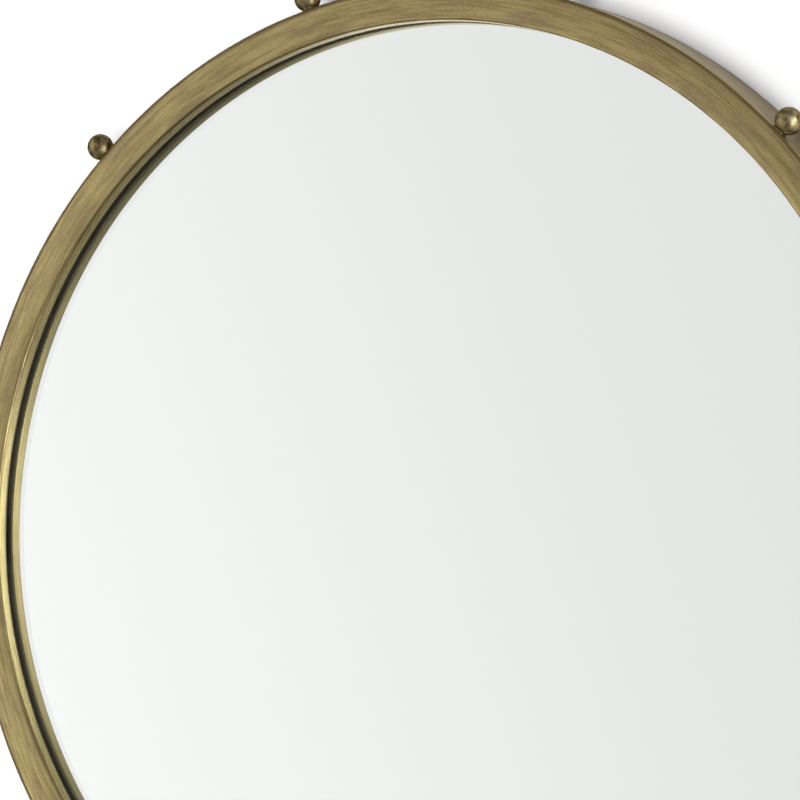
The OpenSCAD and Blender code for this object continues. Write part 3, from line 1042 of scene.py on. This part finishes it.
@dataclass
class Studio:
    """The pale wall and floor, the soft light and the camera."""

    wall_reach: float = 4.0
    wall_hole: float = 0.374
    wall_steps: int = 96
    wall_gap: float = 0.4 * MM
    floor_drop: float = 1.25
    wall_colour: str = "#f4f4f4"
    # How much white the wall and the floor add to what is seen of them, and from where to where they fade
    wall_lift: float = 0.05
    floor_lift: float = 0.34
    far: tuple[float, float] = (1.5, 3.6)
    # Strength of the dome on matt surfaces
    dome: float = 0.42
    # Strength of the pool of light, its azimuth and elevation, and the degrees off its middle where it fades
    pool: float = 0.7
    pool_place: tuple[float, float] = (36, 4)
    pool_fade: tuple[float, float] = (26, 6)
    # Towards the room's bright side. A ramp on it, or on height, says from where to where it goes and the
    # level at either end
    bright_side: tuple[float, float, float] = (-0.858, 0.0, -0.282)
    glass_side: tuple[float, float, float, float] = (0.32, 0.5, 0.788, 0.903)
    glass_below: tuple[float, float, float, float] = (-0.6, -0.14, 0.65, 1.0)
    metal_side: tuple[float, float, float, float] = (0.36, 0.56, 0.56, 2.3)
    metal_past: tuple[float, float, float, float] = (0.6, 0.8, 1.0, 0.3)
    metal_below: tuple[float, float, float, float] = (-0.8, -0.14, 0.28, 1.0)
    metal_above: tuple[float, float, float, float] = (0.45, 0.9, 1.0, 0.4)
    # What the dome and the pool gain where the lip sees them by way of the glass
    mirrored_dome: float = 0.35
    mirrored_pool: float = 1.54
    lamps: tuple[Lamp, ...] = (
        Lamp("key_box", 1, 2, 2.6, 1.1, 57, shiny=False),
        Lamp("glow_strip", 62, -12, 2.4, 0.3, 37, tall=4.3, matt=False),
        Lamp("spark_box", 73, 10, 0.6, 0.15, 0.065, colour="#d9e4ff", aim=(0.276, -0.041, 0.276), spread=12,
             matt=False),
        Lamp("rear_box", 205, 30, 2.5, 1.2, 45),
    )
    # The photograph's view: where it looks on the face's plane, from where, and how far off
    aim: tuple[float, float, float] = (-0.0150, -0.046, 0.0895)
    azimuth: float = 29.684
    elevation: float = -2.106
    roll: float = 1.199
    distance: float = 2.7984
    lens: float = 180.0
    sensor: float = 36.0
    sight: float = 50.0

    def build(self) -> None:
        """Builds the stage, the lights, the world and the camera."""
        self.plane("wall", self.stage_material("matt_white_wall", self.wall_lift), self.wall())
        floor = self.plane("floor", self.stage_material("matt_white_floor", self.floor_lift), self.floor())
        # Metal and glass see the dome there instead, which is pale to glass and darker below to brushed metal
        floor.visible_glossy = floor.visible_transmission = False
        for lamp in self.lamps:
            self.light(lamp)
        self.world()
        self.camera()
        bpy.context.scene.view_settings.view_transform = "Standard"

    def wall(self) -> bmesh.types.BMesh:
        """The wall, facing the room, open behind the mirror so that its back is lit in other views.

        Returns:
            The wall's mesh.
        """
        mesh = bmesh.new()
        for radius in (self.wall_reach, self.wall_hole):
            bmesh.ops.create_circle(mesh, cap_ends=False, radius=radius, segments=self.wall_steps)
        bmesh.ops.bridge_loops(mesh, edges=mesh.edges[:])
        bmesh.ops.rotate(mesh, verts=mesh.verts[:], cent=ORIGIN, matrix=UPRIGHT)
        bmesh.ops.translate(mesh, verts=mesh.verts[:], vec=(0.0, self.wall_gap, 0.0))
        self.face_towards(mesh, Vector((0.0, -1.0, 0.0)))
        return mesh

    def floor(self) -> bmesh.types.BMesh:
        """The floor below the mirror.

        Returns:
            The floor's mesh.
        """
        mesh = bmesh.new()
        bmesh.ops.create_grid(mesh, x_segments=1, y_segments=1, size=self.wall_reach)
        bmesh.ops.translate(mesh, verts=mesh.verts[:], vec=(0.0, 0.0, -self.floor_drop))
        self.face_towards(mesh, Vector((0.0, 0.0, 1.0)))
        return mesh

    @staticmethod
    def face_towards(mesh: bmesh.types.BMesh, direction: Vector) -> None:
        """Turns every face of a flat mesh towards a direction.

        Args:
            mesh: The mesh.
            direction: The direction.
        """
        mesh.normal_update()
        bmesh.ops.reverse_faces(mesh, faces=[f for f in mesh.faces if f.normal.dot(direction) < 0])

    @staticmethod
    def plane(name: str, material: bpy.types.Material, mesh: bmesh.types.BMesh) -> bpy.types.Object:
        """Adds a part of the stage.

        Args:
            name: Its name.
            material: Its material.
            mesh: Its mesh, which is used up.

        Returns:
            The part.
        """
        data = bpy.data.meshes.new(name)
        mesh.to_mesh(data)
        mesh.free()
        data.materials.append(material)
        plane = bpy.data.objects.new(name, data)
        bpy.context.scene.collection.objects.link(plane)
        log.info("%s is part of the stage", name)
        return plane

    def stage_material(self, name: str, share: float) -> bpy.types.Material:
        """Matt white paint that keeps shadows, fades to white far off and can be seen through from behind.

        Args:
            name: The material's name.
            share: How much white it adds to what is seen of it.

        Returns:
            The material.
        """
        material = bpy.data.materials.new(name)
        material.use_nodes = True
        tree = material.node_tree
        tree.nodes.clear()
        paint = add(tree, "ShaderNodeBsdfDiffuse", {"Color": linear(self.wall_colour)})
        rays = add(tree, "ShaderNodeLightPath").outputs
        seen = add(tree, "ShaderNodeMath", (rays["Is Camera Ray"], rays["Is Glossy Ray"]),
                   operation="MAXIMUM").outputs[0]
        seen = add(tree, "ShaderNodeMath", (seen, rays["Is Transmission Ray"]),
                   operation="MAXIMUM").outputs[0]
        point = add(tree, "ShaderNodeTexCoord").outputs["Object"]
        reach = add(tree, "ShaderNodeVectorMath", (point,), operation="LENGTH").outputs["Value"]
        fade = add(tree, "ShaderNodeMapRange", (reach, *self.far),
                   interpolation_type="SMOOTHSTEP").outputs[0]
        far = add(tree, "ShaderNodeMath", (fade, rays["Is Camera Ray"]), operation="MULTIPLY").outputs[0]
        lift = add(tree, "ShaderNodeMath", (seen, share, far), operation="MULTIPLY_ADD").outputs[0]
        glow = add(tree, "ShaderNodeEmission", {"Color": linear(WHITE), "Strength": lift})
        lit = add(tree, "ShaderNodeAddShader", (paint.outputs[0], glow.outputs[0]))
        clear = add(tree, "ShaderNodeBsdfTransparent")
        back = add(tree, "ShaderNodeNewGeometry").outputs["Backfacing"]
        both = add(tree, "ShaderNodeMixShader", (back, lit.outputs[0], clear.outputs[0]))
        add(tree, "ShaderNodeOutputMaterial", {"Surface": both.outputs[0]})
        return material

    @staticmethod
    def before_matt(tree: bpy.types.NodeTree) -> bpy.types.NodeSocket:
        """Tells light that a matt surface gets by way of metal, which would lie on the wall as bright rings.

        Args:
            tree: The tree of a lamp or of the world.

        Returns:
            A socket that is 0 for such light and 1 for all other.
        """
        depth = add(tree, "ShaderNodeLightPath").outputs["Diffuse Depth"]
        return add(tree, "ShaderNodeMath", (1.0, depth), operation="SUBTRACT", use_clamp=True).outputs[0]

    def light(self, lamp: Lamp) -> None:
        """Adds a soft box that faces its aim.

        Args:
            lamp: Its size and place.
        """
        data = bpy.data.lights.new(lamp.name, "AREA")
        data.shape = "RECTANGLE"
        data.size, data.size_y = lamp.size, lamp.size * lamp.tall
        data.energy = lamp.power
        data.spread = math.radians(lamp.spread)
        data.use_nodes = True
        tree = data.node_tree
        tree.nodes.clear()
        glow = add(tree, "ShaderNodeEmission", (linear(lamp.colour), self.before_matt(tree)))
        add(tree, "ShaderNodeOutputLight", {"Surface": glow.outputs[0]})
        box = bpy.data.objects.new(lamp.name, data)
        away = self.direction(lamp.azimuth, lamp.elevation)
        box.location = Vector(lamp.aim) + away * lamp.distance
        box.rotation_mode = "QUATERNION"
        box.rotation_quaternion = (-away).to_track_quat("-Z", "Y")
        box.visible_camera = False
        box.visible_diffuse = lamp.matt
        box.visible_glossy = lamp.shiny
        # Kept out of the mirror, where it would show as a white square
        box.visible_transmission = False
        bpy.context.scene.collection.objects.link(box)

    @staticmethod
    def direction(azimuth: float, elevation: float) -> Vector:
        """Direction away from the mirror.

        Args:
            azimuth: Degrees to the right of the mirror's front.
            elevation: Degrees above the horizon.

        Returns:
            A vector of length one.
        """
        turn, rise = math.radians(azimuth), math.radians(elevation)
        return Vector((math.sin(turn) * math.cos(rise), -math.cos(turn) * math.cos(rise), math.sin(rise)))

    def world(self) -> None:
        """A pale dome that is white to the camera, even to matt surfaces and smooth and pale to the mirror.

        Brushed metal sees it brightest towards one side, darker above and below, and with a pool of light
        right of the camera.
        """
        world = bpy.data.worlds.new("studio_dome")
        world.use_nodes = True
        bpy.context.scene.world = world
        tree = world.node_tree
        tree.nodes.clear()
        way = add(tree, "ShaderNodeTexCoord").outputs["Generated"]
        rise = add(tree, "ShaderNodeSeparateXYZ", (way,)).outputs["Z"]
        lean = add(tree, "ShaderNodeVectorMath", (way, self.bright_side),
                   operation="DOT_PRODUCT").outputs["Value"]
        # The glass fades evenly from side to side, and the metal's ramps are eased
        glass = add(tree, "ShaderNodeMapRange", (lean, *self.glass_side)).outputs[0]
        ground = add(tree, "ShaderNodeMapRange", (rise, *self.glass_below),
                     interpolation_type="SMOOTHSTEP").outputs[0]
        glass = add(tree, "ShaderNodeMath", (glass, ground), operation="MULTIPLY").outputs[0]
        metal: Any = 1.0
        for value, ramp in ((lean, self.metal_side), (lean, self.metal_past), (rise, self.metal_below),
                            (rise, self.metal_above)):
            level = add(tree, "ShaderNodeMapRange", (value, *ramp),
                        interpolation_type="SMOOTHSTEP").outputs[0]
            metal = add(tree, "ShaderNodeMath", (metal, level), operation="MULTIPLY").outputs[0]
        rays = add(tree, "ShaderNodeLightPath").outputs
        sharp = add(tree, "ShaderNodeMath", (rays["Is Singular Ray"], rays["Is Transmission Ray"]),
                    operation="MAXIMUM").outputs[0]
        shiny = add(tree, "ShaderNodeMath", (rays["Is Glossy Ray"], sharp), operation="MAXIMUM").outputs[0]
        shiny = add(tree, "ShaderNodeMath", (shiny, self.before_matt(tree)), operation="MULTIPLY").outputs[0]
        once = add(tree, "ShaderNodeMath", (rays["Glossy Depth"], 1.5), operation="LESS_THAN").outputs[0]
        mirror = add(tree, "ShaderNodeMath", (sharp, once), operation="MULTIPLY").outputs[0]
        near = add(tree, "ShaderNodeVectorMath", (way, self.direction(*self.pool_place)),
                   operation="DOT_PRODUCT").outputs["Value"]
        fade = (math.cos(math.radians(angle)) for angle in self.pool_fade)
        pool = add(tree, "ShaderNodeMapRange", (near, *fade, 0.0, self.pool),
                   interpolation_type="SMOOTHSTEP").outputs[0]
        # The lip sees half of the room by way of the mirror, so that half is stronger by what the glass takes
        more = add(tree, "ShaderNodeMath", (sharp, self.mirrored_dome, 1.0),
                   operation="MULTIPLY_ADD").outputs[0]
        gain = add(tree, "ShaderNodeMath", (sharp, self.mirrored_pool, 1.0),
                   operation="MULTIPLY_ADD").outputs[0]
        metal = add(tree, "ShaderNodeMath", (metal, more), operation="MULTIPLY").outputs[0]
        lit = add(tree, "ShaderNodeMath", (pool, gain, metal), operation="MULTIPLY_ADD").outputs[0]
        seen = add(tree, "ShaderNodeMix", {0: mirror, 2: lit, 3: glass}).outputs[0]
        strength = add(tree, "ShaderNodeMix", {0: shiny, 2: self.dome, 3: seen}).outputs[0]
        dome = add(tree, "ShaderNodeBackground", {"Color": linear(WHITE), "Strength": strength})
        white = add(tree, "ShaderNodeBackground", {"Color": linear(WHITE), "Strength": 1.0})
        both = add(tree, "ShaderNodeMixShader", (rays["Is Camera Ray"], dome.outputs[0], white.outputs[0]))
        add(tree, "ShaderNodeOutputWorld", {"Surface": both.outputs[0]})

    def camera(self) -> None:
        """Adds the camera at the photograph's viewing angle."""
        data = bpy.data.cameras.new("camera")
        data.sensor_width = self.sensor
        data.lens = self.lens
        data.clip_end = self.sight
        camera = bpy.data.objects.new("camera", data)
        away = self.direction(self.azimuth, self.elevation)
        camera.location = Vector(self.aim) + away * self.distance
        camera.rotation_mode = "QUATERNION"
        level = (-away).to_track_quat("-Z", "Y").to_matrix()
        rolled = Matrix.Rotation(math.radians(self.roll), 3, away) @ level
        camera.rotation_quaternion = rolled.to_quaternion()
        bpy.context.scene.collection.objects.link(camera)
        bpy.context.scene.camera = camera


def main() -> None:
    """Builds the mirror's sub-assemblies from the frame inwards and then the studio."""
    logging.basicConfig(level=logging.INFO, format="%(name)s: %(message)s")
    MirrorFrame().build()
    BallTrim().build()
    GlassPack().build()
    zinc = ZincPlate().material()
    lug_brass = PatinatedBrass(name="plated_lug_brass", dark="#5d5136", rubbed="#7f7048").material()
    BoardFixings().build(lug_brass, zinc)
    Hangers().build(zinc)
    Studio().build()


if __name__ == "__main__":
    main()
